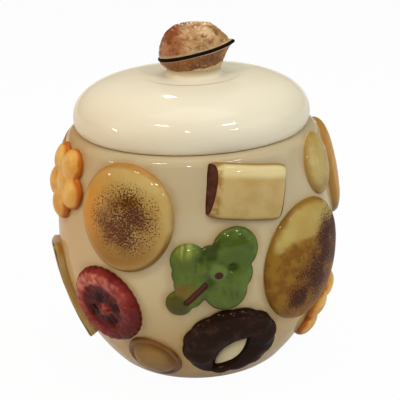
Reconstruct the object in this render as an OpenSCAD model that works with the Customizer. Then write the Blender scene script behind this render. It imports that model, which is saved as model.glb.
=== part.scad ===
// Biscuit jar: a round-bellied ceramic pot with biscuits laid on it in relief,
// a domed lift-off lid and a walnut for a knob. Millimetres, Z up.
// The origin is the centre of the foot, on the surface that the pot stands on.

/* [Pot] */
// Height of the pot, from its foot to its rim
pot_h = 180; // [172:1:192]
// Radius at the belly, without the biscuits
belly_r = 104.5; // [101:0.5:112]
// Height of the belly, where the pot is widest
belly_z = 98; // [92:1:104]
// Radius of the foot
foot_r = 66.5; // [60:0.5:74]
// Radius that the upper side would reach at the rim
shoulder_r = 91.2; // [89:0.2:95]
// Radius of the rounded shoulder below the rim
shoulder_round = 9; // [6:0.5:11]
// Thickness of the wall
wall = 6; // [4:0.5:8]
// Thickness of the floor
floor_t = 8; // [6:0.5:12]
// Width of the unglazed foot ring
foot_w = 7; // [5:0.5:10]
// Height of the recess inside the foot ring
foot_recess = 3; // [2:0.5:5]
// Rounding of the foot ring's edges
foot_round = 1.2; // [0.6:0.2:2]
// Radius of the mouth
mouth_r = 74; // [71:0.5:77]
// Height of the straight lip inside the mouth
lip_h = 7; // [5:0.5:10]
// Chamfer on the edges of the mouth, the flange and the neck
edge_ease = 1; // [0.5:0.1:1.5]

/* [Lid] */
// Gap between the rim and the lid that rests on it
seat_gap = 0.3; // [0.2:0.05:0.5]
// Overhang of the lid's widest line past its seat
lid_bulge = 2.8; // [1:0.2:5]
// Height of the lid's widest line above the rim
lid_edge_h = 8.3; // [6:0.1:12]
// Height of the dome above the widest line
dome_h = 27.7; // [22:0.1:36]
// Squareness of the dome: 2 is round, higher is flatter on top
dome_power = 4.1; // [2.4:0.1:5]
// Thickness of the lid
lid_wall = 6; // [4:0.5:8]
// Clearance between the mouth and the lid's locating flange
flange_gap = 2; // [1.2:0.2:3]
// Thickness of the locating flange
flange_t = 5; // [3.5:0.5:7]
// Depth that the flange reaches below the rim
flange_h = 12; // [8:0.5:18]

/* [Knob] */
// Radius of the neck below the walnut
neck_r = 20; // [17:0.5:23]
// Height of the neck above the lid
neck_h = 7; // [5:0.5:10]
// Radius of the sweep from the neck into the lid
neck_flare = 3; // [1:0.5:5]
// How far the knob stands off the lid's centre
knob_shift = 3; // [0:0.5:5]
// Length of the walnut's blunt end, from the neck's axis
nut_blunt = 25; // [23:0.5:28]
// Length of the walnut's pointed end, from the neck's axis
nut_tip = 29.5; // [27:0.5:34]
// Width of the walnut
nut_w = 39; // [36:1:44]
// Height of the walnut's seam above the neck
seam_h = 10.3; // [9:0.1:13]
// Height of the walnut's crown above its seam
crown_h = 20.6; // [16:0.2:26]
// Tilt of the walnut, tip up
nut_tilt = 12; // [4:1:14]
// How far the middle of the seam arches above its ends
seam_bow = 0.4; // [0:0.2:4]
// Width of the black seam
seam_w = 2.4; // [1.5:0.1:3]
// How far the seam stands proud of the shell
seam_proud = 0.9; // [0.4:0.1:1.5]
// Depth of the wrinkles in the shell
wrinkle = 0.7; // [0:0.1:1.2]

/* [Biscuits] */
// Bed of glaze between a biscuit and the pot
bed = 0.4; // [0.35:0.05:0.6]
// Thickness of a biscuit at its thin edge
edge_t = 1.2; // [0.8:0.1:2]
// Speckled biscuit: width, height, thickness
speckled = [72, 76, 7.5]; // [5:0.5:90]
// Large speckled biscuit: width, height, thickness
large_speckled = [85, 92, 7.5]; // [5:0.5:95]
// Fruit roll: length, width, thickness
fruit_roll = [56, 38, 9]; // [5:0.5:70]
// Clover biscuit: span of its leaves across and up, thickness
clover = [62, 62, 7.5]; // [5:0.5:70]
// Crimson biscuit: width, height, thickness
crimson = [59, 60, 7.5]; // [5:0.5:70]
// Oval nut: width, height, thickness
oval_nut = [40, 45, 6]; // [4:0.5:60]
// Chocolate ring: width, height, thickness
chocolate = [70, 61, 9]; // [5:0.5:80]
// Almond inside the ring: width, length, thickness
almond = [14, 33, 7]; // [4:0.5:40]
// Orange blossom: width, height, thickness
blossom = [55, 58, 8.5]; // [5:0.5:70]
// Wafer slab: width, height, thickness
slab = [48, 74, 4.5]; // [4:0.5:90]
// Clear ground between two neighbours in a row of biscuits
row_gap = 1.5; // [1:0.5:4]
// How flat the slab stays on the round belly: 0 bends with it, 1 is a plane
slab_flat = 0.5; // [0:0.1:1]
// Clear groove between the almond and the ring round it
almond_gap = 1.5; // [1:0.5:4]
// Depth of the dark filling inside the roll's ends
filling_dip = 1; // [0.5:0.1:2]
// How far the roll's left and right ends lean in, from its foot to its top
roll_lean = [8, 3]; // [0:0.5:10]
// Height of the roll's lower side, as a share of its thickness
roll_low = 0.45; // [0.3:0.05:1]

/* [Hidden] */
$fn = 128;

// Where each biscuit lies: azimuth from the front, positive to the right,
// height of its middle as a share of the pot's height, and its turn.
speckled_front_at = [-28.2, 0.771, 0];
speckled_right_at = [96, 0.77, 0];
speckled_back_at = [-153.5, 0.485, 0];
large_speckled_at = [49, 0.522, 0];
roll_front_at = [21, 0.865, -10];
roll_back_at = [-144, 0.85, 10];
clover_front_at = [6.6, 0.585, 0];
clover_back_at = [175, 0.7, 20];
crimson_left_at = [-39.4, 0.392, 0];
crimson_back_at = [beside(clover_back_at, (clover[0] + crimson[0]) / 2, -1), 0.68, 0];
nut_low_at = [-22.7, 0.15, 8];
nut_high_at = [64.3, 0.877, 0];
nut_back_low_at = [-152, 0.14, -15];
nut_back_high_at = [-106, 0.84, 10];
ring_front_at = [13.5, 0.248, 0];
ring_back_at = [168, 0.248, 0];
blossom_left_at = [-66, 0.84, -20];
blossom_right_at = [75.5, 0.215, 8];
blossom_back_at = [122, 0.28, 30];
slab_left_at = [-79.5, 0.325, 12];
slab_back_at = [beside(speckled_back_at, (speckled[0] + slab[0]) / 2, 1), 0.45, -14];
// The almond lies a little below the ring's middle and leans over.
almond_off = [0.1, -7.9];
almond_lean = -39;

// The pot's side is two arcs that meet at the belly with an upright tangent.
low_arc = arc_through(belly_r - foot_r, belly_z);
high_arc = arc_through(belly_r - shoulder_r, pot_h - belly_z);
// The shoulder's round starts where its own tangent is that of the side.
shoulder_z = (pot_h - shoulder_round * (1 + belly_z / high_arc)) / (1 - shoulder_round / high_arc);
shoulder_tilt = asin((shoulder_z - belly_z) / high_arc);
seat_r = side_r(shoulder_z) - shoulder_round * cos(shoulder_tilt);
floor_z = foot_recess + floor_t;
lip_z = pot_h - lip_h;

// The lid's levels.
lid_z = pot_h + seat_gap;
lid_r = seat_r + lid_bulge;
lid_wide_z = pot_h + lid_edge_h;
lid_top_z = lid_wide_z + dome_h;
flange_r = mouth_r - flange_gap;
neck_z = lid_top_z + neck_h;
seam_z = neck_z + seam_h;

side_steps = 24;
dome_steps = 18;
round_steps = 6;

// The azimuth of a biscuit next to another one, half their widths away.
function beside(at, half, way) = at[0] + way * (half + row_gap) / belly_r * 180 / PI;
function arc_through(inset, height) = (inset ^ 2 + height ^ 2) / (2 * inset);
function side_arc(z) = z < belly_z ? low_arc : high_arc;
function side_r(z) = let (a = side_arc(z)) belly_r - a + sqrt(a ^ 2 - (z - belly_z) ^ 2);
function arc_points(mid, r, from, to) = [for (i = [0:round_steps])
    let (t = from + (to - from) * i / round_steps) mid + r * [cos(t), sin(t)]];
function side_points(from, to, inset) = [for (i = [0:side_steps])
    let (z = from + (to - from) * i / side_steps) [side_r(z) - inset, z]];

// The pot is turned from one outline: foot ring, belly, shoulder, rim, lip,
// the inside of the belly and the floor.
module jar() {
    foot_in_r = foot_r - foot_w;
    inner_low_z = floor_z + wall;
    inner_low_r = side_r(inner_low_z) - wall;
    inner_high_z = lip_z - wall;
    outline = concat(
        [[0, foot_recess], [foot_in_r - foot_recess, foot_recess]],
        arc_points([foot_in_r + foot_round, foot_round], foot_round, 180, 270),
        arc_points([foot_r - foot_round, foot_round], foot_round, 270, 330),
        side_points(foot_round, shoulder_z, 0),
        arc_points([seat_r, pot_h - shoulder_round], shoulder_round, shoulder_tilt + 8, 90),
        [[mouth_r + edge_ease, pot_h], [mouth_r, pot_h - edge_ease], [mouth_r, lip_z]],
        [[mouth_r + wall / 2, lip_z - wall / 3]],
        side_points(inner_high_z, inner_low_z, wall),
        arc_points([inner_low_r - wall, inner_low_z], wall, -15, -90),
        [[0, floor_z]]
    );
    color("ivory") rotate_extrude() polygon(outline);
}

// The lid's dome, from its widest line to its top.
function dome_points(r, z, h) = [for (i = [0:dome_steps]) let (t = 90 * i / dome_steps)
    [r * pow(cos(t), 2 / dome_power), z + h * sin(t)]];
function reversed(list) = [for (i = [len(list) - 1:-1:0]) list[i]];

module lid() {
    bore_r = flange_r - flange_t;
    flange_z = pot_h - flange_h;
    under_r = lid_r - lid_wall;
    lid_edge = [for (i = [0:round_steps]) let (t = 90 * i / round_steps)
        [seat_r + lid_bulge * sin(t), lid_wide_z - (lid_wide_z - lid_z) * cos(t)]];
    outline = concat(
        [[bore_r, flange_z + edge_ease], [bore_r + edge_ease, flange_z]],
        [[flange_r - edge_ease, flange_z], [flange_r, flange_z + edge_ease], [flange_r, lid_z]],
        lid_edge,
        dome_points(lid_r, lid_wide_z, dome_h),
        reversed(dome_points(under_r, lid_wide_z, dome_h - lid_wall)),
        [[under_r - lid_wall / 3, lid_z + lid_wall], [bore_r, lid_z + lid_wall]]
    );
    sunk = lid_wall / 2;
    neck = concat(
        [[0, lid_top_z - sunk], [neck_r + neck_flare, lid_top_z - sunk]],
        arc_points([neck_r + neck_flare, lid_top_z + neck_flare], neck_flare, 270, 180),
        [[neck_r, neck_z - edge_ease], [neck_r - edge_ease, neck_z], [0, neck_z]]
    );
    color("ivory") union() {
        rotate_extrude() polygon(outline);
        translate([knob_shift, 0, 0]) rotate_extrude() polygon(neck);
    }
}

// A closed skin over rings of points, each ring with as many points as the
// others. With poles, the first and the last ring are single points.
function ring_faces(rings, n) = [for (k = [0:rings - 2]) for (j = [0:n - 1])
    let (a = k * n + j, b = k * n + (j + 1) % n) each [[a, b, b + n], [a, b + n, a + n]]];
function cap_faces(first, pole, n, up) = [for (j = [0:n - 1])
    up ? [first + j, first + (j + 1) % n, pole] : [first + (j + 1) % n, first + j, pole]];
function joined(lists) = [for (l = lists) each l];

// The walnut: a lower shell that grows out of the neck, a proud seam and a
// wrinkled crown, as rings of points around the neck's axis.
nut_sectors = 36;
// The seam's outline seen from above, blunt on the left and pointed on the right.
function nut_edge(a) = let (c = cos(a), s = sin(a))
    [c < 0 ? nut_blunt * c : nut_tip * c, nut_w / 2 * s * pow(abs(s), 0.55 * max(0, c))];
function seam_level(x) = let (half = (nut_blunt + nut_tip) / 2)
    seam_z + x * tan(nut_tilt) - seam_bow * (x / half) ^ 2;
// The beak is the pointed end: hollow underneath, with a straight slope on top
// from this share of its length, that falls by that share up to the crown.
hollow = 0.58;
beak_top = 0.92;
beak_slope = 0.48;
function beak(a) = pow(max(0, cos(a)), 4);
function dent(a, lift) = wrinkle * (sin(7 * a + 60 * lift) * sin(150 * lift + 4 * a)
    + 0.6 * sin(11 * a - 200 * lift));

function nut_low_ring(w) = [for (j = [0:nut_sectors - 1]) let (a = 360 * j / nut_sectors,
    foot = (neck_r - edge_ease / 2) * [cos(a), sin(a)], e = nut_edge(a),
    grown = (1 - hollow * beak(a)) * sin(90 * w) + hollow * beak(a) * pow(w, 5),
    p = foot + (e - foot) * grown, base = neck_z + seat_gap)
    [p[0], p[1], base + (seam_level(e[0]) - seam_w / 2 - base) * w]];
function nut_seam_ring(proud, lift) = [for (j = [0:nut_sectors - 1])
    let (a = 360 * j / nut_sectors, e = nut_edge(a), r = norm(e))
    [e[0] * (1 + proud / r), e[1] * (1 + proud / r), seam_level(e[0]) + lift]];
function nut_crown_ring(lift) = [for (j = [0:nut_sectors - 1])
    let (a = 360 * j / nut_sectors, e = nut_edge(a), t = 90 * lift,
        full = pow(cos(t), 0.65),
        pull = full - max(0, full - beak_top + beak_slope * sin(t)) * beak(a),
        rough = 1 + dent(a, lift) / neck_r * (1 - lift) * 2 * sin(t),
        low = seam_level(e[0]) + seam_w / 2, top = seam_z + crown_h)
    [e[0] * pull * rough, e[1] * pull * rough, low + (top - low) * sin(t)]];

module walnut_knob() {
    n = nut_sectors;
    half = seam_w / 2;
    rings = [
        nut_low_ring(0), nut_low_ring(0.4), nut_low_ring(0.8), nut_low_ring(1),
        nut_seam_ring(seam_proud, -half * 0.7), nut_seam_ring(seam_proud, half * 0.7),
        nut_crown_ring(0), nut_crown_ring(0.18), nut_crown_ring(0.36),
        nut_crown_ring(0.54), nut_crown_ring(0.72), nut_crown_ring(0.88)
    ];
    low_pole = [0, 0, neck_z + seat_gap];
    high_pole = [0, 0, seam_z + crown_h];
    points = concat(joined(rings), [low_pole, high_pole]);
    last = (len(rings) - 1) * n;
    faces = concat(ring_faces(len(rings), n), cap_faces(0, len(rings) * n, n, false),
        cap_faces(last, len(rings) * n + 1, n, true));
    color("peru") translate([knob_shift, 0, 0]) polyhedron(points, [for (f = faces) reversed(f)]);
}

// A point of a biscuit laid on the pot: [across, up, height off the pot].
// Across runs round the pot and up runs along its side, so that a biscuit
// keeps its size and bends with the belly.
function laid(at, p) =
    let (mid_z = at[1] * pot_h,
        mid_s = asin((mid_z - belly_z) / side_arc(mid_z)) * side_arc(mid_z),
        q = turned([p[0], p[1]], at[2]),
        s = mid_s + q[1] * 180 / PI,
        arc = s < 0 ? low_arc : high_arc,
        tilt = s / arc,
        ground = [belly_r - arc + arc * cos(tilt), belly_z + arc * sin(tilt)],
        azimuth = at[0] + q[0] / ground[0] * 180 / PI,
        r = ground[0] + p[2] * cos(tilt))
    [r * sin(azimuth), -r * cos(azimuth), ground[1] + p[2] * sin(tilt)];

// A biscuit is a fan of rings between a rim and a crown, both functions:
// rim(angle) is its outline on a unit circle, and crown(u, v, q) its
// thickness as a share, at u and v from -1 to 1 and at q of the way out.
top_steps = [0.3, 0.58, 0.8, 0.94, 1];
bed_steps = [1, 0.75, 0.5, 0.25];
function turned(p, a) = [p[0] * cos(a) - p[1] * sin(a), p[0] * sin(a) + p[1] * cos(a)];
function fan_ring(at, size, n, rim, q, high, off, lean) = [for (j = [0:n - 1])
    let (a = 360 * j / n, u = q * rim(a) * cos(a), v = q * rim(a) * sin(a),
        p = off + turned([u * size[0] / 2, v * size[1] / 2], lean))
    laid(at, [p[0], p[1], high(u, v, q)])];

module fan_biscuit(at, size, n, rim, crown, off = [0, 0], lean = 0) {
    raised = function(u, v, q) bed + edge_t + (size[2] - edge_t) * crown(u, v, q);
    resting = function(u, v, q) bed;
    rings = concat(
        [for (q = top_steps) fan_ring(at, size, n, rim, q, raised, off, lean)],
        [for (q = bed_steps) fan_ring(at, size, n, rim, q, resting, off, lean)]
    );
    poles = [laid(at, [off[0], off[1], raised(0, 0, 0)]), laid(at, [off[0], off[1], bed])];
    count = len(rings);
    polyhedron(concat(joined(rings), poles), concat(ring_faces(count, n),
        cap_faces(0, count * n, n, false), cap_faces((count - 1) * n, count * n + 1, n, true)));
}

// Outlines.
round_rim = function(a) 1;
// Pointed at the top and at the bottom, like a lens: [x, y] lies on it where
// abs(x) is 1 - y ^ 2.
function lens_reach(x, y) = 2 / (abs(x) + sqrt(x ^ 2 + 4 * y ^ 2));
lens_rim = function(a) lens_reach(cos(a), sin(a));
// Every other point of the fluted rim is pressed in.
flutes = 32;
flute_depth = 0.035;
fluted_rim = function(a) 1 - flute_depth / 2 * (1 - cos(flutes * a));
// Slightly narrower at the bottom.
egg_rim = function(a) 1 - 0.035 * max(0, -sin(a)) * abs(cos(a));
function box_rim(power) = function(a)
    pow(pow(abs(cos(a)), power) + pow(abs(sin(a)), power), -1 / power);
function reach(a, lobe) = let (along = lobe[0] * cos(a) + lobe[1] * sin(a),
    off = lobe[0] * sin(a) - lobe[1] * cos(a))
    abs(off) < lobe[2] ? along + sqrt(lobe[2] ^ 2 - off ^ 2) : 0;
// Leaves of the clover, their fillings, then the stem: middle and radius.
clover_lobes = [
    [0.46, 0.42, 0.52], [-0.56, 0.22, 0.41], [0.22, -0.52, 0.5],
    [-0.6, -0.08, 0.33], [0.42, -0.14, 0.43], [-0.08, 0.24, 0.34], [0, 0, 0.5],
    [-0.8, -0.78, 0.29], [-0.58, -0.57, 0.3], [-0.38, -0.38, 0.33]
];
// How full each of these stands, the heart in the middle being the lowest.
clover_fill = [1, 0.95, 0.95, 0.85, 0.75, 0.55, 0.5, 0.7, 0.72, 0.72];
clover_rim = function(a) max([for (lobe = clover_lobes) reach(a, lobe)]);
petals = 5;
petal_off = 0.56;
petal_r = 0.44;
petal_middles = [for (i = [0:petals - 1]) petal_off * [cos(360 * i / petals), sin(360 * i / petals)]];
blossom_rim = function(a)
    max([for (m = petal_middles) reach(a, [m[0], m[1], petal_r])]);

// Crowns.
pillow = function(u, v, q) sqrt(max(0, 1 - q ^ 4));
nut_crown = function(u, v, q) lookup(q, [[0, 1], [0.4, 0.95], [0.62, 0.8], [0.74, 0.45],
    [0.82, 0.38], [0.94, 0.3], [1, 0]]);
// The middle is dished and has a small raised heart, and the rim's flutes fade inwards.
crimson_crown = function(u, v, q) lookup(q, [[0, 0.5], [0.3, 0.3], [0.45, 0.45],
    [0.58, 0.85], [0.8, 1], [0.94, 0.75], [1, 0]]);
clover_crown = function(u, v, q) max([for (i = [0:len(clover_lobes) - 1])
    let (lobe = clover_lobes[i], off = norm([u - lobe[0], v - lobe[1]]) / lobe[2])
    clover_fill[i] * sqrt(max(0, 1 - off ^ 2))]);
petal_crown = function(u, v, q) let (gap = min([for (m = petal_middles) norm([u, v] - m)]),
    heart = norm([u, v]))
    max(0, sqrt(max(0, 1 - (gap / petal_r) ^ 2)), 0.9 * sqrt(max(0, 1 - (heart / 0.4) ^ 2)));
// The slab stays flat on top, so it stands off the belly towards its ends.
slab_crown = function(u, v, q) let (sag = (u * slab[0] / 2) ^ 2 / belly_r
        + (v * slab[1] / 2) ^ 2 / low_arc)
    (1 + slab_flat * sag / 2 / slab[2]) * (q < 1 ? 1 : 0.55);

module speckled_biscuit(at, size) color("tan") fan_biscuit(at, size, 28, egg_rim, pillow);
module clover_biscuit(at) color("olivedrab") fan_biscuit(at, clover, 54, clover_rim, clover_crown);
module crimson_biscuit(at) color("indianred")
    fan_biscuit(at, crimson, 2 * flutes, fluted_rim, crimson_crown);
module oval_nut_biscuit(at) color("darkkhaki") fan_biscuit(at, oval_nut, 24, round_rim, nut_crown);
module orange_blossom(at) color("orange") fan_biscuit(at, blossom, 42, blossom_rim, petal_crown);
module wafer_slab(at) color("khaki") fan_biscuit(at, slab, 32, box_rim(9), slab_crown);
module almond_mound(ring_at, side) color("floralwhite")
    fan_biscuit(ring_at, almond, 20, lens_rim, pillow, [side * almond_off[0], almond_off[1]],
        side * almond_lean);

// The fruit roll is one domed section after another along its length, full on
// its upper side and lower below. Its ends lean in, so that the dark filling in
// them shows from the front, and the filling is set back a little.
roll_stations = [-1, -0.94, -0.6, -0.2, 0.2, 0.6, 0.94, 1];
roll_arch = 12;
module fruit_roll_biscuit(at) {
    rise = fruit_roll[2] - edge_t;
    section = concat(
        [for (i = [0:roll_arch]) let (t = 180 * i / roll_arch, v = cos(t))
            [v, edge_t + rise * pow(sin(t), 0.62) * (1 + roll_low + (1 - roll_low) * v) / 2]],
        [for (v = [-1, -0.5, 0, 0.5, 1]) [v, 0]]
    );
    n = len(section);
    along = function(u, h) let (lean = u < 0 ? roll_lean[0] : roll_lean[1])
        u * (fruit_roll[0] / 2 - lean * h / fruit_roll[2]);
    place = function(x, v, h) laid(at, [x, v * fruit_roll[1] / 2, bed + h]);
    rings = [for (u = roll_stations) let (full = 1 - 0.07 * u ^ 8)
        [for (p = section) place(along(u, p[1] * full), p[0] * full, p[1] * full)]];
    middle = fruit_roll[2] / 2;
    poles = [for (u = [-1, 1]) place(along(u, middle) - u * filling_dip, 0, middle)];
    count = len(rings);
    faces = concat(ring_faces(count, n), cap_faces(0, count * n, n, false),
        cap_faces((count - 1) * n, count * n + 1, n, true));
    color("burlywood") polyhedron(concat(joined(rings), poles), [for (f = faces) reversed(f)]);
}

// The chocolate ring is a scalloped hoop round the almond: its section runs
// from the inner rim, over the top, to the outer rim and back underneath.
ring_scallops = 12;
scallop = 0.035;
hoop_section = [[0, 0], [0, 0.3], [0.12, 0.75], [0.34, 1], [0.66, 0.92], [0.92, 0.55], [1, 0.16],
    [1, 0], [0.5, 0]];
function lens_point(a, size, turn) =
    [cos(a), sin(a)] * lens_reach(2 * cos(a - turn) / size[0], 2 * sin(a - turn) / size[1]);

module chocolate_ring(at, side) {
    n = ring_scallops * 3;
    hole = [almond[0], almond[1]] + 2 * almond_gap * [1, 1];
    hole_mid = [side * almond_off[0], almond_off[1]];
    hoop = [for (p = hoop_section) [for (j = [0:n - 1])
        let (a = 360 * j / n, wave = 1 - scallop + scallop * abs(sin(ring_scallops * a / 2)),
            outer = [cos(a) * chocolate[0], sin(a) * chocolate[1]] * wave / 2,
            inner = hole_mid + lens_point(a, hole, side * almond_lean),
            q = inner + (outer - inner) * p[0])
        laid(at, [q[0], q[1], bed + chocolate[2] * p[1]])]];
    closed = concat(hoop, [hoop[0]]);
    faces = [for (f = ring_faces(len(closed), n)) [for (i = f) i % (len(hoop) * n)]];
    color("saddlebrown") polyhedron(joined(hoop), faces);
}

jar();
lid();
walnut_knob();
speckled_biscuit(speckled_front_at, speckled);  // speckled_biscuit_front
speckled_biscuit(speckled_right_at, speckled);  // speckled_biscuit_right
speckled_biscuit(speckled_back_at, speckled);  // speckled_biscuit_back
speckled_biscuit(large_speckled_at, large_speckled);  // large_speckled_biscuit
fruit_roll_biscuit(roll_front_at);  // fruit_roll_front
fruit_roll_biscuit(roll_back_at);  // fruit_roll_back
clover_biscuit(clover_front_at);  // clover_biscuit_front
clover_biscuit(clover_back_at);  // clover_biscuit_back
crimson_biscuit(crimson_left_at);  // crimson_biscuit_left
crimson_biscuit(crimson_back_at);  // crimson_biscuit_back
oval_nut_biscuit(nut_low_at);  // oval_nut_low
oval_nut_biscuit(nut_high_at);  // oval_nut_high
oval_nut_biscuit(nut_back_low_at);  // oval_nut_back_low
oval_nut_biscuit(nut_back_high_at);  // oval_nut_back_high
chocolate_ring(ring_front_at, 1);  // chocolate_ring_front
almond_mound(ring_front_at, 1);  // almond_front
chocolate_ring(ring_back_at, -1);  // chocolate_ring_back
almond_mound(ring_back_at, -1);  // almond_back
orange_blossom(blossom_left_at);  // orange_blossom_left
orange_blossom(blossom_right_at);  // orange_blossom_right
orange_blossom(blossom_back_at);  // orange_blossom_back
wafer_slab(slab_left_at);  // wafer_slab_left
wafer_slab(slab_back_at);  // wafer_slab_back
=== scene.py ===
# %% [markdown]
# # A ceramic biscuit jar
# The jar is a round-bellied pot with a domed lift-off lid, and biscuits stand
# out of its side in relief. A walnut is the lid's knob. Everything is glazed
# clay, so the work is in soft rounded forms and in painted, glossy glazes.
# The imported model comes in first: each new piece takes its place and its body
# from it.

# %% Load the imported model
import math

import bpy
from mathutils import Matrix, Vector, kdtree, noise


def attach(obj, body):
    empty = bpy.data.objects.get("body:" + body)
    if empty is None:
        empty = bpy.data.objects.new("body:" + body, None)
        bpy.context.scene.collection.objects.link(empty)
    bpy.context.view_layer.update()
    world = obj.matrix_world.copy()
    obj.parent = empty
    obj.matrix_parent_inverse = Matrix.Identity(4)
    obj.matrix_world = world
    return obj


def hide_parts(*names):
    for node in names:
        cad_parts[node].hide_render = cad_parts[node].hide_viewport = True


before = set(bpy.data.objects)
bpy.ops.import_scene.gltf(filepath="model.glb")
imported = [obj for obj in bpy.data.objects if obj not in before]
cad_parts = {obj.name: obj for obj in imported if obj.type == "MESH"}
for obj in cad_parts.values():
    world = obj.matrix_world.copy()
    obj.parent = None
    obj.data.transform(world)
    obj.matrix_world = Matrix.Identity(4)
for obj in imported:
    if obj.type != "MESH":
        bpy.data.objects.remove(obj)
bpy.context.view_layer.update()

# %% [markdown]
# ## The pot's own sizes
# Metres, the same values as in the part's source. The side is two arcs that
# meet at the belly, where the pot is widest, with an upright tangent. A
# biscuit is laid on this surface later, so the arcs are kept as functions.

# %% Sizes and the side's curve
MM = 0.001
pot_h, belly_r, belly_z = 180 * MM, 104.5 * MM, 98 * MM
foot_r, shoulder_r, shoulder_round = 66.5 * MM, 91.2 * MM, 9 * MM
wall, floor_t, foot_w, foot_recess = 6 * MM, 8 * MM, 7 * MM, 3 * MM
foot_round, mouth_r, lip_h, edge_ease = 1.2 * MM, 74 * MM, 7 * MM, 1 * MM


def arc_through(inset, height):
    return (inset**2 + height**2) / (2 * inset)


low_arc = arc_through(belly_r - foot_r, belly_z)
high_arc = arc_through(belly_r - shoulder_r, pot_h - belly_z)


def side_arc(z):
    return low_arc if z < belly_z else high_arc


def side_r(z):
    arc = side_arc(z)
    return belly_r - arc + math.sqrt(arc**2 - (z - belly_z) ** 2)


shoulder_z = (pot_h - shoulder_round * (1 + belly_z / high_arc)) / (1 - shoulder_round / high_arc)
shoulder_tilt = math.degrees(math.asin((shoulder_z - belly_z) / high_arc))
seat_r = side_r(shoulder_z) - shoulder_round * math.cos(math.radians(shoulder_tilt))
print(f"belly {side_r(belly_z) * 1000:.1f} mm, seat {seat_r * 1000:.1f} mm")

# %% [markdown]
# ## Small helpers
# They do what a hand does in the window: choose one piece, draw an outline by
# extruding one point after another, spin it, and put a modifier on and apply it.

# %% Choose, name and edit
def choose(*pieces):
    """Select these pieces and nothing else; the last one is the active one."""
    bpy.ops.object.select_all(action="DESELECT")
    for piece in pieces:
        piece.select_set(True)
        bpy.context.view_layer.objects.active = piece


def mode(name):
    bpy.ops.object.mode_set(mode=name)


def edit(piece):
    """Go into edit mode with everything selected."""
    choose(piece)
    mode("EDIT")
    bpy.ops.mesh.select_all(action="SELECT")


def named(name):
    piece = bpy.context.active_object
    piece.name = name
    piece.data.name = name
    return piece


def apply_place(piece):
    choose(piece)
    bpy.ops.object.transform_apply(location=True, rotation=True, scale=True)


def apply_modifier(piece, kind, **settings):
    choose(piece)
    modifier = piece.modifiers.new(kind.title(), kind)
    for name, value in settings.items():
        setattr(modifier, name, value)
    bpy.ops.object.modifier_apply(modifier=modifier.name)


def edit_only(piece, kind, wanted):
    """Go into edit mode with only the wanted faces or edges selected."""
    edit(piece)
    bpy.ops.mesh.select_mode(type=kind)
    bpy.ops.mesh.select_all(action="DESELECT")
    mode("OBJECT")
    for part in piece.data.polygons if kind == "FACE" else piece.data.edges:
        part.select = wanted(part)
    mode("EDIT")


def point_outwards(piece):
    edit(piece)
    bpy.ops.mesh.remove_doubles(threshold=0.01 * MM)
    bpy.ops.mesh.normals_make_consistent(inside=False)
    mode("OBJECT")


# %% Draw an outline and spin it
def trace(name, outline):
    """Draw an outline in the XZ plane by extruding one point after another."""
    choose()
    bpy.ops.mesh.primitive_plane_add(size=MM)
    piece = named(name)
    mode("EDIT")
    bpy.ops.mesh.select_mode(type="VERT")
    bpy.ops.mesh.select_all(action="SELECT")
    bpy.ops.mesh.merge(type="CENTER")
    x, z = outline[0]
    bpy.ops.transform.translate(value=(x, 0, z))
    for (x0, z0), (x1, z1) in zip(outline, outline[1:]):
        bpy.ops.mesh.extrude_region_move(TRANSFORM_OT_translate={"value": (x1 - x0, 0, z1 - z0)})
    mode("OBJECT")
    return piece


def spin_round(piece, steps):
    """Turn an outline about an upright axis, as on a potter's wheel."""
    edit(piece)
    bpy.ops.mesh.spin(steps=steps, angle=2 * math.pi, center=(0, 0, 0), axis=(0, 0, 1))
    mode("OBJECT")
    point_outwards(piece)


def arc(mid, radius, start, stop, steps):
    turns = [math.radians(start + (stop - start) * i / steps) for i in range(steps + 1)]
    return [(mid[0] + radius * math.cos(t), mid[1] + radius * math.sin(t)) for t in turns]


def side(start, stop, inset, steps):
    levels = [start + (stop - start) * i / steps for i in range(steps + 1)]
    return [(side_r(z) - inset, z) for z in levels]


# %% [markdown]
# ## The pot
# A pot like this is cast or thrown: a body of revolution. So its outline is
# drawn once, from the middle of the foot, up the outside, over the rim and
# down the inside, and spun. Small arcs in the outline round every edge as the
# thick glaze does, so the spin needs no subdivision after it.

# %% Spin the pot
wheel_steps = 192
inner_rings = [0, 20 * MM, 40 * MM]
foot_in_r = foot_r - foot_w
floor_z = foot_recess + floor_t
lip_z = pot_h - lip_h
inner_low_z = floor_z + wall
inner_low_r = side_r(inner_low_z) - wall
pot_outline = (
    [(r, foot_recess) for r in inner_rings]
    + [(foot_in_r - foot_recess, foot_recess)]
    + arc((foot_in_r + foot_round, foot_round), foot_round, 180, 270, 5)
    + arc((foot_r - foot_round, foot_round), foot_round, 270, 330, 5)
    + side(2 * foot_round, shoulder_z, 0, 84)
    + arc((seat_r, pot_h - shoulder_round), shoulder_round, shoulder_tilt + 8, 90, 12)
    + arc((mouth_r + edge_ease, pot_h - edge_ease), edge_ease, 90, 180, 4)
    + [(mouth_r, lip_z), (mouth_r + wall / 2, lip_z - wall / 3)]
    + side(lip_z - wall, inner_low_z, wall, 30)
    + arc((inner_low_r - wall, inner_low_z), wall, -15, -90, 7)
    + [(r, floor_z) for r in inner_rings[::-1]]
)
pot = trace("jar_glazed", pot_outline)
spin_round(pot, wheel_steps)
print("pot:", len(pot.data.polygons), "faces")

# %% [markdown]
# ## The lid
# The lid is another body of revolution: a dome that is almost flat on top and
# full at its edge, a short neck for the knob, and underneath a flange that
# drops into the mouth. The knob stands a little off the middle, so after the
# spin the neck is moved over, and the dome round it follows by less and less.

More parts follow.
